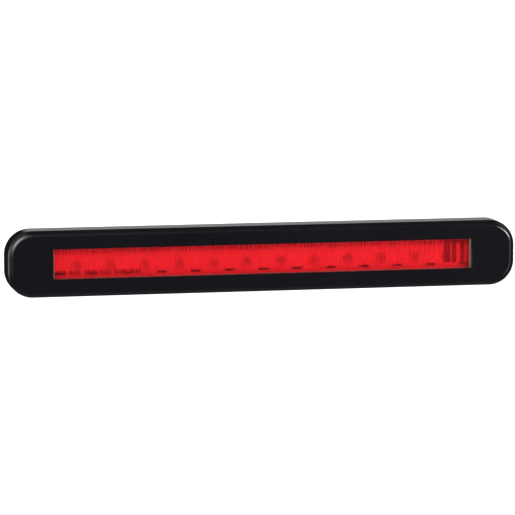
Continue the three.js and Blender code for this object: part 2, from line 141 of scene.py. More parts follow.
# %% Wires and recipes
class Wire:
    """One output socket of a node tree."""

    def __init__(self, tree, socket):
        self.tree = tree
        self.socket = socket

    def maths(self, operation, left, right):
        node = self.tree.nodes.new("ShaderNodeMath")
        node.operation = operation
        for slot, value in zip(node.inputs, (left, right)):
            if isinstance(value, Wire):
                self.tree.links.new(value.socket, slot)
            else:
                slot.default_value = value
        return Wire(self.tree, node.outputs[0])

    def __add__(self, other):
        return self.maths("ADD", self, other)

    def __radd__(self, other):
        return self.maths("ADD", other, self)

    def __sub__(self, other):
        return self.maths("SUBTRACT", self, other)

    def __rsub__(self, other):
        return self.maths("SUBTRACT", other, self)

    def __mul__(self, other):
        return self.maths("MULTIPLY", self, other)

    def __rmul__(self, other):
        return self.maths("MULTIPLY", other, self)

    def __truediv__(self, other):
        return self.maths("DIVIDE", self, other)

    def __pow__(self, other):
        return self.maths("POWER", self, other)

    def __abs__(self):
        return self.maths("ABSOLUTE", self, 0.0)

    def between(self, low, high):
        return self.maths("GREATER_THAN", self, low) * self.maths("LESS_THAN", self, high)

    def fraction(self):
        return self.maths("FRACT", self, 0.0)

    def stripes(self, pitch, width):
        """1 on a stripe of the given width at every pitch, and 0 between."""
        return (self / pitch).fraction().between(0.0, width / pitch)


class Recipe:
    """A node tree under construction."""

    def __init__(self, tree):
        self.tree = tree

    def add(self, kind, settings=None, sockets=None, output=0):
        node = self.tree.nodes.new(kind)
        for name, value in (settings or {}).items():
            setattr(node, name, value)
        for name, value in (sockets or {}).items():
            self.feed(node.inputs[name], value)
        return Wire(self.tree, node.outputs[output])

    def feed(self, slot, value):
        if isinstance(value, Wire):
            self.tree.links.new(value.socket, slot)
        else:
            slot.default_value = value

    def blend(self, share, first, second):
        """A colour part of the way from the first colour to the second."""
        settings = {"data_type": "RGBA"}
        return self.add("ShaderNodeMix", settings, {0: share, 6: first, 7: second}, output=2)

    def noise(self, position, scale, detail):
        sockets = {"Vector": position, "Scale": scale, "Detail": detail}
        return self.add("ShaderNodeTexNoise", {}, sockets)

    def ramp(self, value, low, high):
        """Goes from 0 to 1 as value goes from low to high, smoothly."""
        sockets = {"Value": value, "From Min": low, "From Max": high}
        return self.add("ShaderNodeMapRange", {"interpolation_type": "SMOOTHSTEP"}, sockets)


class Finish(Recipe):
    """A material built round its Principled shader."""

    def __init__(self, name, **constants):
        self.material = bpy.data.materials.new(name)
        self.material.use_nodes = True
        super().__init__(self.material.node_tree)
        self.shader = self.tree.nodes["Principled BSDF"]
        for name, value in constants.items():
            socket = name.replace("_", " ").title().replace("Ior", "IOR")
            self.shader.inputs[socket].default_value = value
        self.place = self.add("ShaderNodeTexCoord", output="Object")

    def coordinate(self, axis):
        return self.add("ShaderNodeSeparateXYZ", {}, {0: self.place}, output=axis)

    def drive(self, socket, value):
        self.feed(self.shader.inputs[socket], value)

    def bump(self, height, distance):
        sockets = {"Height": height, "Distance": distance}
        self.drive("Normal", self.add("ShaderNodeBump", {}, sockets))


print("shader helpers ready")

# %% [markdown]
# ## The studio
#
# Gloss black is drawn by what it mirrors, and the lamp's long straight edges all mirror one narrow
# upright slice of the studio. So mirror rays get a studio of their own: dark where the face and
# the long edges look, a bright backdrop low behind the lamp for the thin line along its top, and
# dim side panels. Two soft glows, in front to the left and beside the left end, run along the
# rounded edge, and a softbox answers them from the right. Every other ray gets an even white dome,
# which lights the red lens from all round.
#
# Places in the studio are parts of a direction one unit long, so a height of 0 is level and 1 is
# straight up. Each pair below says where a light begins to show and where it reaches its full
# strength.

# %% World
world = bpy.data.worlds.new("studio")
world.use_nodes = True
bpy.context.scene.world = world
air = Recipe(world.node_tree)
background = world.node_tree.nodes["Background"]
direction = air.add("ShaderNodeTexCoord", output="Generated")
across, along, height = [
    air.add("ShaderNodeSeparateXYZ", {}, {0: direction}, output=axis) for axis in "XYZ"
]
EDGE_SLICE = 0.2
DOME_LOW = 0.35
DOME_HIGH = 1.62
DOME_RISE = (-0.2, 0.2)
MIRROR_LOW = 0.045
PANEL = 0.4
PANEL_ASIDE = (0.25, 0.5)
PANEL_RISE = (0.1, 0.5)
BACKDROP = 2.1
BACKDROP_BEHIND = (0.5, 0.9)
BACKDROP_ASIDE = (0.19, 0.1)
BACKDROP_FOOT = (-0.05, 0.06)
BACKDROP_TOP = (0.46, 0.32)
FLOOR_GLOW = 0.14
FLOOR_GLOW_DEPTH = (-0.6, -0.9)
GLOW_SHARPNESS = 16
SEEN_WHITE = 1.2


def lobe(azimuth, elevation, strength):
    """A soft round glow. Azimuth 0 is in front of the lamp, and positive is to its right."""
    side, rise = math.radians(azimuth), math.radians(elevation)
    flat = math.cos(rise)
    toward = (math.sin(side) * flat, -math.cos(side) * flat, math.sin(rise))
    settings = {"operation": "DOT_PRODUCT"}
    aim = air.add("ShaderNodeVectorMath", settings, {0: direction, 1: toward}, output="Value")
    return aim.maths("MAXIMUM", aim, 0.0) ** GLOW_SHARPNESS * strength


dome = DOME_LOW + air.ramp(height, *DOME_RISE) * (DOME_HIGH - DOME_LOW)
aside = abs(across - EDGE_SLICE)
panels = air.ramp(aside, *PANEL_ASIDE) * air.ramp(height, *PANEL_RISE) * PANEL
behind = air.ramp(along, *BACKDROP_BEHIND) * air.ramp(aside, *BACKDROP_ASIDE)
backdrop = behind * air.ramp(height, *BACKDROP_FOOT) * air.ramp(height, *BACKDROP_TOP) * BACKDROP
key_left = lobe(azimuth=-32, elevation=27, strength=9.0)
rim_left = lobe(azimuth=-98, elevation=4, strength=3.4)
floor_glow = air.ramp(height, *FLOOR_GLOW_DEPTH) * FLOOR_GLOW
mirrored = MIRROR_LOW + panels + backdrop + key_left + rim_left + floor_glow
seen = air.add("ShaderNodeLightPath", output="Is Camera Ray")
glossy = air.add("ShaderNodeLightPath", output="Is Glossy Ray")
through = air.add("ShaderNodeLightPath", output="Is Transmission Ray")
bounced = glossy * (1 - through)
lit = bounced * mirrored + (1 - bounced) * dome
air.feed(background.inputs["Color"], (1, 1, 1, 1))
air.feed(background.inputs["Strength"], seen * SEEN_WHITE + (1 - seen) * lit)


# %% Lights
def softbox(name, place, width, height, power):
    data = bpy.data.lights.new(name, "AREA")
    data.shape = "RECTANGLE"
    data.size = width
    data.size_y = height
    data.energy = power
    box = bpy.data.objects.new(name, data)
    box.location = place
    box.rotation_euler = (-Vector(place)).to_track_quat("-Z", "Y").to_euler()
    box.visible_camera = False
    bpy.context.scene.collection.objects.link(box)


softbox("softbox_right", (0.96, -1.08, 0.19), width=0.66, height=0.26, power=8.5)
softbox("panel_right", (0.98, -1.09, -0.24), width=0.5, height=0.6, power=1.2)

# %% Floor
FLOOR_DROP = 0.3
FLOOR_REACH = 12
plane = bmesh.new()
bmesh.ops.create_grid(plane, x_segments=1, y_segments=1, size=FLOOR_REACH)
bmesh.ops.translate(plane, verts=plane.verts, vec=(0, 0, cad_low.z - FLOOR_DROP))
floor_mesh = bpy.data.meshes.new("floor")
plane.to_mesh(floor_mesh)
floor = bpy.data.objects.new("floor", floor_mesh)
floor.visible_glossy = False
bpy.context.scene.collection.objects.link(floor)
paper = Finish("studio_paper", roughness=0.9)
grain = paper.noise(paper.place, 3.0, 2.0)
paper.drive("Base Color", paper.blend(grain, (0.93, 0.93, 0.93, 1), (0.95, 0.95, 0.95, 1)))
floor.data.materials.append(paper.material)

# %% [markdown]
# ## Gloss black and clear red
#
# Moulded black acrylic-faced plastic is almost a mirror. What gives it away as plastic is a
# faint orange peel in the reflections and hazy patches where it has been handled, so both go
# into the finish at a strength that only shows in a highlight. Only the front and its rounded
# edge are polished. The straight walls, drawn from the tool, mirror a good deal less.
#
# The red lens is clear in front and frosted behind, where its flutes and moulded marks are. The
# marks are stripes and bars laid out in millimetres, dark against the clear red. Its colour also
# holds painted shade: a painted shadow darkening the top of the lens below the cover's window
# edge, and dark dashes painted where the reflector's slots open onto the shaded board.


# %% Finishes of the cover and lens
LED_PITCH = 20.0
LED_ROW_Z = -2.0
WALL_DULLNESS = 0.8
POLISHED_DEPTH = 1.6
DULL_DEPTH = 3.0


def gloss_black():
    finish = Finish("gloss_black", specular_ior_level=0.5)
    haze = finish.noise(finish.place, 26.0, 4.0)
    speck = finish.noise(finish.place, 900.0, 2.0)
    tint = finish.blend(haze, (0.0030, 0.0028, 0.0042, 1), (0.0044, 0.0041, 0.0056, 1))
    finish.drive("Base Color", tint)
    finish.drive("Roughness", 0.085 + haze * 0.06 + speck * 0.02)
    peel = finish.noise(finish.place, 420.0, 2.0)
    finish.bump(peel, 0.000004)
    depth = finish.coordinate("Y") / MM + cover.high.z
    duller = finish.ramp(depth, POLISHED_DEPTH, DULL_DEPTH) * WALL_DULLNESS
    sockets = {"Base Color": tint, "Roughness": 0.6 + haze * 0.2, "Specular IOR Level": 0.0}
    unpolished = finish.add("ShaderNodeBsdfPrincipled", {}, sockets)
    polished = Wire(finish.tree, finish.shader.outputs[0])
    surface = finish.add("ShaderNodeMixShader", {}, {0: duller, 1: polished, 2: unpolished})
    finish.feed(finish.tree.nodes["Material Output"].inputs["Surface"], surface)
    return finish.material


# The moulded marks on the lens and the painted shade on it, in mm from its middle: the shadow band
# along the top and the dark dashes at the reflector's slots are painted shade, the rest are marks.
# A pair that ends in UP or ACROSS says from where to where a mark reaches, and one that ends in
# STRIPES is a pitch and a width.
CLEAR_SKIN = 0.9
FLUTE_STRIPES = (2.0, 0.8)
FLUTES_UP = (5.4, 9.0)
TALL_FLUTE_STRIPES = (3.0, 0.7)
TALL_FLUTES_UP = (-0.5, 9.0)
TALL_FLUTES_DEEPEN = (40.0, 105.0)
TOP_SHADOW_UP = (1.5, 9.0)
BAR_STRIPES = (1.6, 1.15)
BAR_GROUP_STRIPES = (8.8, 7.2)
BARS_ACROSS = (-123.0, -71.5)
BARS_UP = (-7.0, -4.4)
SLOT_SHADE_ACROSS = (-62.5, 102.5)
SLOT_SHADE_UP = (-6.9, -5.8)
SLOT_SHADE_WIDTH = 5.0
COLUMN_STRIPES = (1.3, 0.75)
COLUMNS_ACROSS = ((108.2, 111.9), (112.9, 115.7), (118.0, 120.3))
COLUMNS_UP = (-5.4, 7.6)
DOTS_ACROSS = (-60.0, 120.0)
DOT_RADIUS = 0.632
SEAM_ACROSS = (-100.6, -99.8)


def from_led(x, z):
    """The square of the distance from the middle of the nearest LED cell."""
    aside = ((x / LED_PITCH).fraction() - 0.5) * LED_PITCH
    return aside * aside + (z - LED_ROW_Z) * (z - LED_ROW_Z)


def red_acrylic():
    """Clear red, polished in front. The frosted optic behind carries the moulded flutes and
    markings, a painted shadow along its top and painted shade at the reflector's slots.
    """
    finish = Finish("red_acrylic", ior=1.49, transmission_weight=1.0)
    x, y, z = [finish.coordinate(axis) / MM for axis in "XYZ"]
    optic = y.between(CLEAR_SKIN - lens.high.z, 0.0)
    flow = finish.noise(finish.place, 60.0, 3.0)
    patchy = finish.ramp(finish.noise(finish.place, 260.0, 2.0), 0.36, 0.62)
    flutes = z.between(*FLUTES_UP) * x.stripes(*FLUTE_STRIPES) * (0.25 + 0.45 * patchy)
    tall = z.between(*TALL_FLUTES_UP) * x.stripes(*TALL_FLUTE_STRIPES)
    tall = tall * finish.ramp(x, *TALL_FLUTES_DEEPEN) * 0.3
    # Painted shadow: the top of the lens is darkened where the cover's window edge shades it.
    shade = finish.ramp(z, *TOP_SHADOW_UP) * 0.3
    bars = z.between(*BARS_UP) * x.between(*BARS_ACROSS) * x.stripes(*BAR_STRIPES)
    bars = bars * (x - BARS_ACROSS[0]).stripes(*BAR_GROUP_STRIPES)
    bars = bars * (0.7 + 0.3 * finish.ramp(flow, 0.42, 0.58))
    # Painted shade: dark dashes where the reflector's slots open onto the shaded board behind.
    slot_shade = z.between(*SLOT_SHADE_UP) * x.between(*SLOT_SHADE_ACROSS)
    slot_shade = slot_shade * (x + SLOT_SHADE_WIDTH / 2).stripes(LED_PITCH, SLOT_SHADE_WIDTH) * (0.3 + 0.5 * patchy)
    columns = sum(x.between(*reach) for reach in COLUMNS_ACROSS)
    columns = columns * z.between(*COLUMNS_UP) * (0.5 + 0.5 * z.stripes(*COLUMN_STRIPES))
    dots = from_led(x, z).between(0.0, DOT_RADIUS**2) * x.between(*DOTS_ACROSS) * patchy * 0.6
    seam = x.between(*SEAM_ACROSS) * patchy * 0.3
    # The moulded marks together with the painted shadow and the painted slot shade.
    marks_and_painted_shade = (shade + flutes + tall + bars + slot_shade + columns + seam + dots) * optic
    clear = finish.blend(flow, (0.95, 0.10, 0.13, 1), (0.98, 0.13, 0.16, 1))
    finish.drive("Base Color", finish.blend(marks_and_painted_shade, clear, (0.22, 0.01, 0.014, 1)))
    finish.drive("Roughness", 0.05 + flow * 0.02 + optic * 0.4)
    return finish.material


GLOSS_BLACK = gloss_black()
RED_ACRYLIC = red_acrylic()
print("finishes:", [m.name for m in bpy.data.materials])

# %% [markdown]
# ## Plainer finishes
#
# Rubber, silicone, moulded nylon, ceramic and plain metal differ in their colours and in how
# coarse and how deep their grain is, so one recipe serves them all: two close shades in a cloud, a
# roughness that follows the same cloud, and a fine grain that dents the surface.


# %% Plainer finishes
def mottled(name, dark, light, clouds, roughness, grain, dent, **constants):
    """Clouds and grain are noise scales, and dent is the depth of the grain in metres."""
    finish = Finish(name, **constants)
    cloud = finish.noise(finish.place, clouds, 4.0)
    finish.drive("Base Color", finish.blend(cloud, (*dark, 1), (*light, 1)))
    finish.drive("Roughness", roughness + cloud * 0.12)
    finish.bump(finish.noise(finish.place, grain, 2.0), dent)
    return finish.material


def grey(dark, light):
    """Two greys, a touch bluer than neutral."""
    return [(shade, shade, shade * 1.04) for shade in (dark, light)]


SATIN_BLACK = mottled(
    "satin_black",
    *grey(0.012, 0.019),
    clouds=90,
    roughness=0.46,
    grain=2400,
    dent=0.00002,
    specular_ior_level=0.2,
)
BLACK_RUBBER = mottled(
    "black_rubber", *grey(0.010, 0.018), clouds=400, roughness=0.66, grain=1500, dent=0.00003
)
VENT_PLASTIC = mottled(
    "vent_plastic", *grey(0.035, 0.05), clouds=300, roughness=0.45, grain=1800, dent=0.00002
)
CHIP_BLACK = mottled(
    "chip_black", *grey(0.018, 0.03), clouds=800, roughness=0.42, grain=5000, dent=0.00001
)
PALE_SILICONE = mottled(
    "pale_silicone",
    dark=(0.19, 0.17, 0.15),
    light=(0.25, 0.23, 0.2),
    clouds=700,
    roughness=0.42,
    grain=700,
    dent=0.00002,
)
CERAMIC = mottled(
    "ceramic",
    dark=(0.36, 0.24, 0.13),
    light=(0.46, 0.32, 0.18),
    clouds=900,
    roughness=0.4,
    grain=3000,
    dent=0.00001,
)
WHITE_REFLECTOR = mottled(
    "white_reflector",
    dark=(0.93, 0.93, 0.91),
    light=(0.96, 0.96, 0.94),
    clouds=80,
    roughness=0.28,
    grain=1200,
    dent=0.000008,
)
TINNED_BRASS = mottled(
    "tinned_brass",
    dark=(0.62, 0.6, 0.54),
    light=(0.74, 0.72, 0.67),
    clouds=500,
    roughness=0.18,
    grain=1600,
    dent=0.000006,
    metallic=1.0,
)
STAINLESS = mottled(
    "stainless",
    dark=(0.5, 0.5, 0.51),
    light=(0.62, 0.62, 0.63),
    clouds=260,
    roughness=0.2,
    grain=1800,
    dent=0.000008,
    metallic=1.0,
)
print("finishes:", len(bpy.data.materials))

# %% [markdown]
# Three finishes need a pattern of their own. Closed-cell foam is covered in small round pores. The
# board's white mask is crossed by faint copper tracks. Each LED is a cream case round a clear
# dome with a dark die in it, found by its distance from the middle of its cell.


# %% Foam, board and LED finishes
DOME_RADIUS = 1.5
DIE_EDGE = (0.1, 0.5)
TRACK_STRIPES = (2.4, 0.5)
TRACK_LENGTH = 15.0


def black_foam():
    finish = Finish("black_foam")
    sockets = {"Vector": finish.place, "Scale": 1500.0}
    pores = finish.ramp(finish.add("ShaderNodeTexVoronoi", {}, sockets), 0.1, 0.6)
    worn = finish.noise(finish.place, 60.0, 4.0)
    shade = finish.blend(pores * worn, (0.012, 0.012, 0.013, 1), (0.045, 0.045, 0.047, 1))
    finish.drive("Base Color", shade)
    finish.drive("Roughness", 0.8 + worn * 0.15)
    finish.bump(pores, 0.00012)
    return finish.material


def board_mask():
    finish = Finish("board_mask")
    x, z = finish.coordinate("X") / MM, finish.coordinate("Z") / MM
    cloud = finish.noise(finish.place, 200.0, 3.0)
    tracks = z.stripes(*TRACK_STRIPES) * x.stripes(LED_PITCH, TRACK_LENGTH)
    mask = finish.blend(cloud, (0.74, 0.76, 0.72, 1), (0.8, 0.82, 0.78, 1))
    finish.drive("Base Color", finish.blend(tracks * 0.5, mask, (0.62, 0.6, 0.5, 1)))
    finish.drive("Roughness", 0.34 + cloud * 0.1)
    finish.bump(tracks, 0.00003)
    return finish.material


def led_case():
    finish = Finish("led_case", coat_weight=0.4)
    x, z = finish.coordinate("X") / MM, finish.coordinate("Z") / MM
    away = from_led(x, z)
    cloud = finish.noise(finish.place, 900.0, 2.0)
    case = finish.blend(cloud, (0.93, 0.91, 0.85, 1), (0.96, 0.95, 0.9, 1))
    around_die = finish.ramp(away, *DIE_EDGE)
    dome = finish.blend(around_die, (0.45, 0.25, 0.2, 1), (0.97, 0.96, 0.93, 1))
    finish.drive("Base Color", finish.blend(away.between(0.0, DOME_RADIUS**2), case, dome))
    finish.drive("Roughness", 0.2 + cloud * 0.15)
    return finish.material


BLACK_FOAM = black_foam()
BOARD_MASK = board_mask()
LED_CASE = led_case()
print("finishes:", len(bpy.data.materials))

# %% [markdown]
# ## From a drawing to a piece
#
# Every new piece ends the same way: stood up, turned into an object at the origin, told which
# CAD body it rides on and which finish it takes, and the CAD node it stands for is hidden. Smooth
# shading with the sharp edges marked keeps flat faces flat and rounds round.


# %% Finishing a piece
SHARP_ANGLE = math.radians(38)
MERGE_DISTANCE = 0.001
CORNER_SEGMENTS = 20
ROD_SEGMENTS = 32
ROUND = 0.5


def finish_piece(drawing, name, material, body="lamp", replaces=None):
    bmesh.ops.transform(drawing, matrix=STAND_UP, verts=drawing.verts)
    for face in drawing.faces:
        face.smooth = True
    for edge in drawing.edges:
        edge.smooth = edge.calc_face_angle(math.pi) < SHARP_ANGLE
    mesh = bpy.data.meshes.new(name)
    drawing.to_mesh(mesh)
    drawing.free()
    mesh.materials.append(material)
    piece = bpy.data.objects.new(name, mesh)
    bpy.context.scene.collection.objects.link(piece)
    flats = piece.modifiers.new("flats", "WEIGHTED_NORMAL")
    flats.keep_sharp = True
    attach(piece, body)
    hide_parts(replaces or name.removesuffix("_skin"))
    print(name, len(mesh.polygons), "faces")


def rounded_sheet(width, height, radius, z):
    """One flat face with rounded corners, facing along z."""
    sheet = bmesh.new()
    bmesh.ops.create_grid(sheet, x_segments=1, y_segments=1, size=0.5)
    bmesh.ops.scale(sheet, vec=(width, height, 1), verts=sheet.verts)
    bmesh.ops.translate(sheet, vec=(0, 0, z), verts=sheet.verts)
    if radius:
        bmesh.ops.bevel(
            sheet,
            geom=sheet.verts[:],
            offset=radius,
            segments=CORNER_SEGMENTS,
            profile=ROUND,
            affect="VERTICES",
            material=-1,
        )
    return sheet


def raise_sheet(sheet, faces, distance):
    """Extrudes faces, leaving walls behind, and returns the faces that moved."""
    made = bmesh.ops.extrude_face_region(sheet, geom=faces)
    moved = [part for part in made["geom"] if isinstance(part, bmesh.types.BMVert)]
    bmesh.ops.translate(sheet, vec=(0, 0, distance), verts=moved)
    bmesh.ops.delete(sheet, geom=faces, context="FACES_ONLY")
    return [part for part in made["geom"] if isinstance(part, bmesh.types.BMFace)]


def ease(drawing, edges, radius, segments):
    bmesh.ops.bevel(
        drawing,
        geom=edges,
        offset=radius,
        segments=segments,
        profile=ROUND,
        affect="EDGES",
        material=-1,
        clamp_overlap=True,
    )


def block(drawing, low, high):
    """A box from its low corner to its high corner, added to a drawing."""
    low, high = Vector(low), Vector(high)
    size = Matrix.Diagonal((*(high - low), 1))
    place = Matrix.Translation((low + high) / 2)
    bmesh.ops.create_cube(drawing, size=1, matrix=place @ size)


def rod(drawing, radius, x, y, from_z, to_z):
    place = Matrix.Translation((x, y, (from_z + to_z) / 2))
    return bmesh.ops.create_cone(
        drawing,
        cap_ends=True,
        segments=ROD_SEGMENTS,
        radius1=radius,
        radius2=radius,
        depth=to_z - from_z,
        matrix=place,
    )["verts"]


print("modelling helpers ready")

# %% [markdown]
# ## The cover
#
# The cover starts as one flat rounded face. Its rim is extruded back to make the side walls, the
# front edge is bevelled into the soft radius that catches the light, and the window is cut by
# four planes. Solidify then gives the whole shell its wall, inwards, so the outside stays true.

# %% Cover shell
CORNER_RADIUS = 14.75
FRONT_EDGE_RADIUS = 3.7
COVER_WALL = 2.2
WINDOW_EDGE_RADIUS = 0.35
BEAD_UNDER_COVER = 2.2
BEAD_SHOWS_AT_ENDS = 0.5
FIT = 0.1

window_length = bead.size.x - 2 * BEAD_UNDER_COVER
window_height = bead.size.y - 2 * BEAD_UNDER_COVER
bead_opening = Vector((window_length - 2 * BEAD_SHOWS_AT_ENDS, window_height))
ceiling = bead.high.z + FIT


def cut_panel(drawing, length, height):
    """Cuts a rectangle out of the front face with four planes and returns the face inside it."""
    planes = [((side * length / 2, 0, 0), (1, 0, 0)) for side in SIDES]
    planes += [((0, side * height / 2, 0), (0, 1, 0)) for side in SIDES]
    top = max(v.co.z for v in drawing.verts)
    for point, normal in planes:
        front = [f for f in drawing.faces if f.calc_center_median().z > top - MERGE_DISTANCE]
        edges = {edge for face in front for edge in face.edges}
        geometry = front + list(edges) + list({v for e in edges for v in e.verts})
        bmesh.ops.bisect_plane(drawing, geom=geometry, plane_co=point, plane_no=normal)
    return [
        f
        for f in drawing.faces
        if f.calc_center_median().z > top - MERGE_DISTANCE
        and f.calc_center_median().xy.length < 1
    ]


def edges_at(drawing, z, inside=None):
    """The edges at height z, and if inside is given, within that far of both middle lines."""
    found = []
    for edge in drawing.edges:
        level = all(abs(v.co.z - z) < MERGE_DISTANCE for v in edge.verts)
        near = inside is None or all(
            abs(v.co.x) < inside[0] + MERGE_DISTANCE and abs(v.co.y) < inside[1] + MERGE_DISTANCE
            for v in edge.verts
        )
        if level and near:
            found.append(edge)
    return found


shell = rounded_sheet(cover.size.x, cover.size.y, CORNER_RADIUS, cover.low.z)
raise_sheet(shell, shell.faces[:], cover.size.z)
ease(shell, edges_at(shell, cover.high.z), FRONT_EDGE_RADIUS, segments=10)
window = cut_panel(shell, window_length, window_height)
floor_of_window = raise_sheet(shell, window, ceiling - cover.high.z)
bmesh.ops.delete(shell, geom=floor_of_window, context="FACES_ONLY")
window_edges = edges_at(shell, cover.high.z, (window_length / 2, window_height / 2))
ease(shell, window_edges, WINDOW_EDGE_RADIUS, segments=4)
bmesh.ops.recalc_face_normals(shell, faces=shell.faces)
bmesh.ops.solidify(shell, geom=shell.faces[:], thickness=COVER_WALL)
print("cover shell", len(shell.faces), "faces")

# %% Studs and webs inside the cover
STUD_RADIUS = 1.5
STUD_SHORT_OF_GROMMET = 0.6
STUD_TIP_RADIUS = 0.4
SCREW_X = 137.5
GROMMET_Y = 10
WEB_XS = (-100, -50, 0, 50, 100)
WEB_THICK = 1.2
WEB_DEPTH = 3.5
WEB_TO_LENS = 0.4
ROOT = 0.5
WALL_ROOT = 0.3


def level_edges(verts, z):
    """The edges of these vertices that lie at height z."""
    edges = {edge for vert in verts for edge in vert.link_edges}
    return [e for e in edges if all(abs(v.co.z - z) < MERGE_DISTANCE for v in e.verts)]


stud_back = Span("cover_grommet_upper_left").low.z + STUD_SHORT_OF_GROMMET
for x in (-SCREW_X, SCREW_X):
    for y in (-GROMMET_Y, GROMMET_Y):
        stud = rod(shell, STUD_RADIUS, x, y, stud_back, ceiling + ROOT)
        ease(shell, level_edges(stud, stud_back), STUD_TIP_RADIUS, segments=2)
for x in WEB_XS:
    for side in SIDES:
        inner = side * (lens.high.y + WEB_TO_LENS)
        outer = side * (cover.high.y - COVER_WALL + WALL_ROOT)
        low = (x - WEB_THICK / 2, min(inner, outer), ceiling - WEB_DEPTH)
        high = (x + WEB_THICK / 2, max(inner, outer), ceiling + ROOT)
        block(shell, low, high)
finish_piece(shell, "cover_bezel_skin", GLOSS_BLACK, body="cover")

# %% [markdown]
# ## The lens
#
# The lens is a red tray, lying face up. It is drawn from the inside out. Its optics come first, a
# fine grid whose columns are rolled into upright flutes, deeper in a band along the top. Then the
# grid's border is drawn out step by step, down the inner wall, across the rim and back up the
# outside, so that the whole lens is one closed skin.

# %% Lens
FLUTE_PITCH = 2.0
FLUTE_DEPTH = 0.05
BAND_FLUTE_DEPTH = 0.3
BAND_HEIGHT = 2.0
POINTS_PER_FLUTE = 8
ROWS = 36
LENS_WALL = 1.8
LENS_FRONT_WALL = 2.0
LENS_CORNER = 1.6
LENS_RIM_RADIUS = 0.3


def draw_out(drawing, loop, length, height, z):
    """Extrudes a closed loop of edges and lays the new loop out at a new size and height."""
    made = bmesh.ops.extrude_edge_only(drawing, edges=loop)["geom"]
    verts = [part for part in made if isinstance(part, bmesh.types.BMVert)]
    old_length = 2 * max(v.co.x for v in verts)
    old_height = 2 * max(v.co.y for v in verts)
    bmesh.ops.scale(drawing, vec=(length / old_length, height / old_height, 1), verts=verts)
    bmesh.ops.translate(drawing, vec=(0, 0, z - verts[0].co.z), verts=verts)
    return [part for part in made if isinstance(part, bmesh.types.BMEdge)]


optic_z = lens.high.z - LENS_FRONT_WALL
optic_length = lens.size.x - 2 * LENS_WALL
optic_height = lens.size.y - 2 * LENS_WALL
flutes = round(optic_length / FLUTE_PITCH)
band_foot = window_height / 2 - BAND_HEIGHT

skin = bmesh.new()
columns = flutes * POINTS_PER_FLUTE
bmesh.ops.create_grid(skin, x_segments=columns, y_segments=ROWS, size=0.5)
bmesh.ops.scale(skin, vec=(optic_length, optic_height, 1), verts=skin.verts)
bmesh.ops.translate(skin, vec=(0, 0, optic_z), verts=skin.verts)
rim = [edge for edge in skin.edges if edge.is_boundary]
for vert in skin.verts:
    if not vert.is_boundary:
        roll = math.sin(math.pi * vert.co.x * flutes / optic_length) ** 2
        depth = BAND_FLUTE_DEPTH if vert.co.y > band_foot else FLUTE_DEPTH
        vert.co.z -= depth * roll
rim = draw_out(skin, rim, optic_length, optic_height, lens.low.z)
rim = draw_out(skin, rim, lens.size.x, lens.size.y, lens.low.z)
rim = draw_out(skin, rim, lens.size.x, lens.size.y, lens.high.z)
bmesh.ops.edgeloop_fill(skin, edges=rim)
corners = [
    vert
    for vert in skin.verts
    if abs(abs(vert.co.x) - lens.high.x) + abs(abs(vert.co.y) - lens.high.y) < MERGE_DISTANCE
]
uprights = [edge for edge in skin.edges if all(v in corners for v in edge.verts)]
ease(skin, uprights, LENS_CORNER, segments=6)
ease(skin, edges_at(skin, lens.high.z), LENS_RIM_RADIUS, segments=3)
bmesh.ops.recalc_face_normals(skin, faces=skin.faces)
finish_piece(skin, "red_lens_skin", RED_ACRYLIC)

# %% [markdown]
# ## The bead
#
# A pale silicone bead is squeezed between the lens and the cover. A little of it shows at each
# end of the window, as a thin light line beside the red.


# %% Bead
BEAD_EDGE_RADIUS = 0.2


def framed(drawing, box, opening):
    """Makes a flat rectangular ring: a slab with its middle cut through."""
    raise_sheet(drawing, drawing.faces[:], box.size.z)
    hole = cut_panel(drawing, opening.x, opening.y)
    hole_floor = raise_sheet(drawing, hole, -box.size.z)
    bmesh.ops.delete(drawing, geom=hole_floor, context="FACES_ONLY")
    bmesh.ops.bridge_loops(drawing, edges=edges_at(drawing, box.low.z))
    bmesh.ops.recalc_face_normals(drawing, faces=drawing.faces)


ring = rounded_sheet(bead.size.x, bead.size.y, 0, bead.low.z)
framed(ring, bead, bead_opening)
ease(ring, edges_at(ring, bead.high.z, bead_opening / 2), BEAD_EDGE_RADIUS, segments=3)
finish_piece(ring, "window_seal_skin", PALE_SILICONE, replaces="window_seal")

# %% [markdown]
# ## Pieces copied from their CAD nodes
#
# The mouldings behind the cover already have their full shape in the CAD. A copy of the node is
# laid down, its triangles are merged into flat panels, and every sharp edge is eased by the radius
# a real tool would leave. Flat gaskets get a wider radius than moulded plastic, and metal less.

# %% Copies with eased edges
FLAT_ANGLE = math.radians(0.5)


def copy_of(node):
    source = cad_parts[node]
    drawing = bmesh.new()
    drawing.from_mesh(source.data)
    bmesh.ops.transform(drawing, matrix=LIE_DOWN @ source.matrix_world, verts=drawing.verts)
    bmesh.ops.remove_doubles(drawing, verts=drawing.verts, dist=MERGE_DISTANCE)
    bmesh.ops.dissolve_limit(
        drawing, angle_limit=FLAT_ANGLE, verts=drawing.verts, edges=drawing.edges
    )
    return drawing


def sharp_edges(drawing):
    return [edge for edge in drawing.edges if edge.calc_face_angle(0) > SHARP_ANGLE]


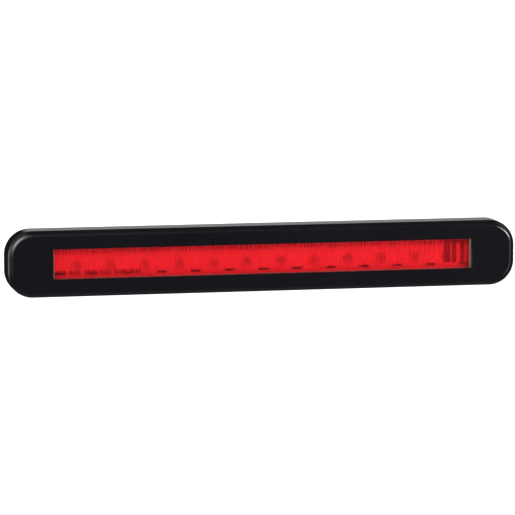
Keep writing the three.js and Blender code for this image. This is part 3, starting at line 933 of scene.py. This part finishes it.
EASED = {
    "base_tray": (SATIN_BLACK, "satin_black", 0.2),
    "connector_socket": (SATIN_BLACK, "satin_black", 0.2),
    "mounting_gasket": (BLACK_FOAM, "black_foam", 0.3),
    "lens_seal": (PALE_SILICONE, "silicone", 0.25),
    "connector_seal": (PALE_SILICONE, "silicone", 0.15),
    "terminal_blade_1": (TINNED_BRASS, "tinned_brass", 0.12),
    "terminal_blade_2": (TINNED_BRASS, "tinned_brass", 0.12),
    "reflector_strip": (WHITE_REFLECTOR, "white_plastic", 0.15),
    "polarity_diode": (CHIP_BLACK, "chip_black", 0.12),
    "surge_diode": (CHIP_BLACK, "chip_black", 0.12),
    "filter_capacitor": (CERAMIC, "ceramic", 0.15),
}
for number in (1, 2, 3):
    EASED[f"current_regulator_{number}"] = (CHIP_BLACK, "chip_black", 0.12)
    EASED[f"string_resistor_{number}"] = (CHIP_BLACK, "chip_black", 0.08)
for node, (material, slot, radius) in EASED.items():
    drawing = copy_of(node)
    ease(drawing, sharp_edges(drawing), radius, segments=2)
    finish_piece(drawing, node + "_skin", material)

# %% [markdown]
# ## The board and its LEDs
#
# The board is a copy too, with its bare solder pads added: two for each LED in front. Each LED is
# a small square case with a clear dome on it. The dome is a quarter circle spun once round.


# %% Board and LEDs
def turn(drawing, profile, x, y, steps=48):
    """Spins a profile of (radius, z) points about the upright line through x, y."""
    verts = [drawing.verts.new((x + radius, y, z)) for radius, z in profile]
    edges = [drawing.edges.new(pair) for pair in zip(verts, verts[1:])]
    bmesh.ops.spin(
        drawing,
        geom=verts + edges,
        cent=(x, y, 0),
        axis=(0, 0, 1),
        angle=2 * math.pi,
        steps=steps,
        use_merge=True,
    )
    bmesh.ops.remove_doubles(drawing, verts=drawing.verts, dist=MERGE_DISTANCE / 10)


PAD_LENGTH = 1.2
PAD_WIDTH = 2.4
PAD_PROUD = 0.04
BOARD_EDGE_RADIUS = 0.1
CASE_HEIGHT = 1.1
CASE_EDGE_RADIUS = 0.15
DOME_STEPS = 10

board = copy_of("circuit_board")
ease(board, sharp_edges(board), BOARD_EDGE_RADIUS, segments=2)
board_front = Span("circuit_board").high.z
LEDS = [f"led_{number:02d}" for number in range(1, 13)]
for node in LEDS:
    case = Span(node)
    for side in SIDES:
        x = case.centre.x + side * (case.size.x / 2 + PAD_LENGTH / 4)
        low = (x - PAD_LENGTH / 2, LED_ROW_Z - PAD_WIDTH / 2, board_front - PAD_PROUD)
        high = (x + PAD_LENGTH / 2, LED_ROW_Z + PAD_WIDTH / 2, board_front + PAD_PROUD)
        block(board, low, high)
finish_piece(board, "circuit_board_skin", BOARD_MASK)

for node in LEDS:
    case = Span(node)
    led = bmesh.new()
    block(led, case.low, (case.high.x, case.high.y, case.low.z + CASE_HEIGHT))
    ease(led, led.edges[:], CASE_EDGE_RADIUS, segments=2)
    centre_z = case.high.z - DOME_RADIUS
    quarter = [math.pi / 2 * step / DOME_STEPS for step in range(DOME_STEPS + 1)]
    dome = [(DOME_RADIUS * math.cos(a), centre_z + DOME_RADIUS * math.sin(a)) for a in quarter]
    turn(led, [(0, centre_z), *dome], case.centre.x, case.centre.y, steps=24)
    bmesh.ops.recalc_face_normals(led, faces=led.faces)
    finish_piece(led, node + "_skin", LED_CASE)

# %% [markdown]
# ## Screws
#
# A screw's head is the top of its CAD copy, cut off just above its seat and closed. The shank is a
# grid rolled into a tube, whose radius rises to a ridge once every turn, so the thread is a true
# helix. The seam of the grid meets itself because one turn round is one pitch along.


# %% Screws
SHANK_STEPS = 28
ROWS_PER_TURN = 8
RIDGE_HALF_WIDTH = 0.3
TIP_TAPER = 0.25
ABOVE_SEAT = 0.01


def shank(drawing, place, core, crest, pitch, tip_z, top_z):
    turns = (top_z - tip_z) / pitch
    rows = round(turns * ROWS_PER_TURN)
    grid = bmesh.ops.create_grid(drawing, x_segments=SHANK_STEPS, y_segments=rows, size=0.5)
    made = grid["verts"]
    for vert in made:
        around, up = vert.co.x + 0.5, vert.co.y + 0.5
        phase = (up * turns - around) % 1
        ridge = max(0, 1 - abs(phase - 0.5) / RIDGE_HALF_WIDTH)
        taper = min(1, TIP_TAPER + up * turns * pitch / (3 * crest))
        radius = taper * (core + (crest - core) * ridge)
        angle = 2 * math.pi * around
        vert.co.x = place.x + radius * math.cos(angle)
        vert.co.y = place.y + radius * math.sin(angle)
        vert.co.z = tip_z + up * (top_z - tip_z)
    bmesh.ops.remove_doubles(drawing, verts=made, dist=MERGE_DISTANCE / 10)
    ends = [edge for edge in drawing.edges if edge.is_boundary]
    bmesh.ops.holes_fill(drawing, edges=ends, sides=SHANK_STEPS)


def screw(node, head_height, core, crest, pitch):
    span = Span(node)
    seat = span.high.z - head_height
    drawing = copy_of(node)
    geometry = drawing.verts[:] + drawing.edges[:] + drawing.faces[:]
    cut = (0, 0, seat + ABOVE_SEAT)
    bmesh.ops.bisect_plane(
        drawing, geom=geometry, plane_co=cut, plane_no=(0, 0, 1), clear_inner=True
    )
    rim = [edge for edge in drawing.edges if edge.is_boundary]
    bmesh.ops.edgeloop_fill(drawing, edges=rim)
    shank(drawing, span.centre, core, crest, pitch, span.low.z, seat + head_height / 4)
    bmesh.ops.recalc_face_normals(drawing, faces=drawing.faces)
    finish_piece(drawing, node + "_skin", STAINLESS)


for hand in ("left", "right"):
    screw(f"mounting_screw_{hand}", head_height=2.6, core=1.55, crest=2.0, pitch=1.4)
    screw(f"board_screw_{hand}", head_height=1.2, core=0.58, crest=0.8, pitch=0.6)

# %% [markdown]
# ## Turned pieces
#
# Washers, grommets and the breather are all round, so each is one profile spun about its own axis.
# Their rims are then eased like a moulded lip.


# %% Washers, grommets and breather
def turned(node, profile, material, radius):
    span = Span(node)
    drawing = bmesh.new()
    turn(drawing, profile, span.centre.x, span.centre.y)
    bmesh.ops.recalc_face_normals(drawing, faces=drawing.faces)
    ease(drawing, sharp_edges(drawing), radius, segments=3)
    finish_piece(drawing, node + "_skin", material)


WASHER_BORE = 2.4
RUBBER_LIP = 0.2
for hand in ("left", "right"):
    washer = Span(f"screw_washer_{hand}")
    outline = [(WASHER_BORE, washer.low.z), (washer.size.x / 2, washer.low.z)]
    outline += [(radius, washer.high.z) for radius, _ in reversed(outline)] + outline[:1]
    turned(f"screw_washer_{hand}", outline, BLACK_RUBBER, RUBBER_LIP)

GROMMET_BORE = 1.6
GROMMET_SLEEVE = 2.65
GROMMET_FLANGE = 3.8
GROMMET_FLANGE_THICK = 1.0
for level in ("upper", "lower"):
    for hand in ("left", "right"):
        node = f"cover_grommet_{level}_{hand}"
        grommet = Span(node)
        seat = grommet.high.z - GROMMET_FLANGE_THICK
        outline = [
            (GROMMET_BORE, grommet.low.z),
            (GROMMET_SLEEVE, grommet.low.z),
            (GROMMET_SLEEVE, seat),
            (GROMMET_FLANGE, seat),
            (GROMMET_FLANGE, grommet.high.z),
            (GROMMET_BORE, grommet.high.z),
            (GROMMET_BORE, grommet.low.z),
        ]
        turned(node, outline, BLACK_RUBBER, RUBBER_LIP)

vent = Span("breather_vent")
VENT_CAP = 4.2
VENT_CAP_THICK = 1.3
VENT_STEM = 2.9
VENT_BARB = 0.4
VENT_BARB_HEIGHT = 1.2
VENT_TAPER = 0.5
VENT_DIMPLE = 1.6
VENT_DIMPLE_RIM = 2.0
VENT_DIMPLE_DEPTH = 0.5
VENT_LIP = 0.15
cap_back = vent.low.z + VENT_CAP_THICK
barb_foot = vent.high.z - VENT_BARB_HEIGHT
outline = [
    (0, vent.low.z + VENT_DIMPLE_DEPTH),
    (VENT_DIMPLE, vent.low.z + VENT_DIMPLE_DEPTH),
    (VENT_DIMPLE_RIM, vent.low.z),
    (VENT_CAP, vent.low.z),
    (VENT_CAP, cap_back),
    (VENT_STEM, cap_back),
    (VENT_STEM, barb_foot),
    (VENT_STEM + VENT_BARB, barb_foot),
    (VENT_STEM - VENT_TAPER, vent.high.z),
    (0, vent.high.z),
]
turned("breather_vent", outline, VENT_PLASTIC, VENT_LIP)
